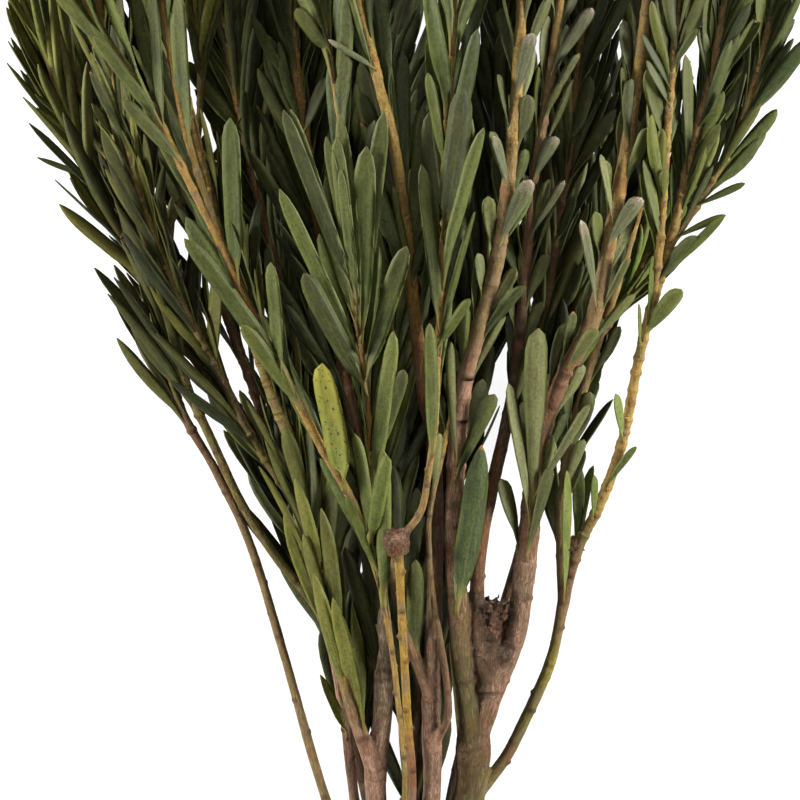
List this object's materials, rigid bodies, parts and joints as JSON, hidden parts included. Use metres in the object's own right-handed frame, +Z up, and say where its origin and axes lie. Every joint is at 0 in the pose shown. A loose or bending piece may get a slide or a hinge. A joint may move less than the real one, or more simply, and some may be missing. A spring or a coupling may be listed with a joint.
{
  "type": "bunch of leucadendron stems",
  "caption": "Tied bunch of woody cut stems lying on its side, forking and fanning out into long leafy shoots.",
  "frame": {"origin": "under the middle of the bunch's box, on the surface that it lies on", "axes": "+X across the bunch, +Y from the cut ends to the tips, +Z up"},
  "size_m": [0.3324, 0.5718, 0.1498],
  "materials": {
    "bark": "matte",
    "foliage": "satin",
    "rubber": "matte"
  },
  "bodies": {
    "root": {"rubber_band": "rubber", "stem_10_main_shoot": "foliage", "stem_10_middle_shoot": "foliage", "stem_10_wood": "bark", "stem_1_main_shoot": "foliage", "stem_1_wood": "bark", "stem_2_main_leaf_24": "foliage", "stem_2_main_shoot": "foliage", "stem_2_wood": "bark", "stem_3_left_shoot": "foliage", "stem_3_low_shoot": "foliage", "stem_3_main_shoot": "foliage", "stem_3_wood": "bark", "stem_4_right_shoot": "foliage", "stem_4_wood": "bark", "stem_5_main_shoot": "foliage", "stem_5_wood": "bark", "stem_6_left_shoot": "foliage", "stem_6_main_shoot": "foliage", "stem_6_twig_shoot": "foliage", "stem_6_wood": "bark", "stem_7_front_leaf_128": "foliage", "stem_7_front_leaf_74": "foliage", "stem_7_front_shoot": "foliage", "stem_7_middle_shoot": "foliage", "stem_7_outer_low_shoot": "foliage", "stem_7_outer_shoot": "foliage", "stem_7_right_shoot": "foliage", "stem_7_wood": "bark", "stem_8_main_shoot": "foliage", "stem_8_middle_shoot": "foliage", "stem_8_wood": "bark", "stem_9_main_shoot": "foliage", "stem_9_side_shoot": "foliage", "stem_9_wood": "bark"}
  },
  "joints": []
}
